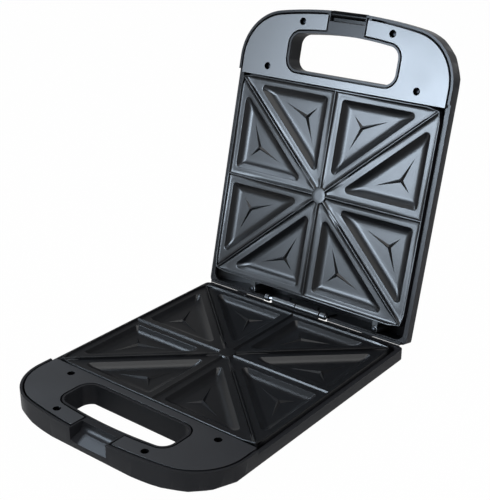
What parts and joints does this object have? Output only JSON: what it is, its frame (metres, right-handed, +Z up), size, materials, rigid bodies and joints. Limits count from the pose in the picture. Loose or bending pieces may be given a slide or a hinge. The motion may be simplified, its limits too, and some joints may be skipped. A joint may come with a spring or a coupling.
{
  "type": "sandwich toaster",
  "caption": "Black sandwich toaster with two hinged pocketed plates, bowed handles with hand slots and a latch, shown open.",
  "frame": {"origin": "middle of the open toaster's footprint, on the surface it stands on", "axes": "+X right, -Y towards the handle ends' front, +Y towards the hinge, +Z up"},
  "size_m": [0.2626, 0.4276, 0.3537],
  "materials": {
    "moulded_casing": "satin moulded black",
    "satin_cover": "satin moulded black",
    "bright_sheet": "bright rolled sheet",
    "screw_steel": "blackened steel",
    "nonstick_coating": "satin non-stick coating",
    "element_sheath": "matt oxidised steel",
    "white_ceramic": "matt white",
    "brass_cap": "plain",
    "black_rubber": "matt",
    "black_hinge_steel": "gloss black",
    "bright_pin": "drawn",
    "red_lens": "clear red",
    "green_lens": "clear green",
    "lamp_glass": "clear",
    "gloss_latch": "gloss black"
  },
  "bodies": {
    "base": {"base_housing": "moulded_casing", "base_cover": "satin_cover", "base_cover_screws": "screw_steel", "base_plate": "nonstick_coating", "base_plate_screws": "screw_steel", "base_element": "element_sheath", "base_reflector": "bright_sheet", "base_reflector_screws": "screw_steel", "base_thermostat": "white_ceramic", "thermal_fuse": "brass_cap", "terminal_block": "white_ceramic", "cord_bushing": "black_rubber", "feet": "black_rubber", "feet_screws": "screw_steel", "base_hinge": "black_hinge_steel", "base_hinge_screws": "screw_steel", "hinge_pin": "bright_pin"},
    "lid": {"lid_housing": "moulded_casing", "lid_cover": "satin_cover", "lid_cover_screws": "screw_steel", "lid_plate": "nonstick_coating", "lid_plate_screws": "screw_steel", "lid_element": "element_sheath", "lid_reflector": "bright_sheet", "lid_reflector_screws": "screw_steel", "lid_thermostat": "white_ceramic", "lid_hinge": "black_hinge_steel", "lid_hinge_screws": "screw_steel", "power_lens": "red_lens", "ready_lens": "green_lens", "signal_lamps": "lamp_glass", "latch_pin": "bright_pin"},
    "latch": {"latch": "gloss_latch"}
  },
  "joints": [
    {"name": "lid_hinge", "type": "hinge", "parent": "base", "child": "lid", "pos_m": [0, 0.10553, 0.0438], "axis": [1, 0, 0], "range_deg": [0, 103.6]},
    {"name": "latch_pivot", "type": "hinge", "parent": "lid", "child": "latch", "pos_m": [0, 0.18426, 0.34966], "axis": [1, 0, 0], "range_deg": [0, 180]}
  ]
}
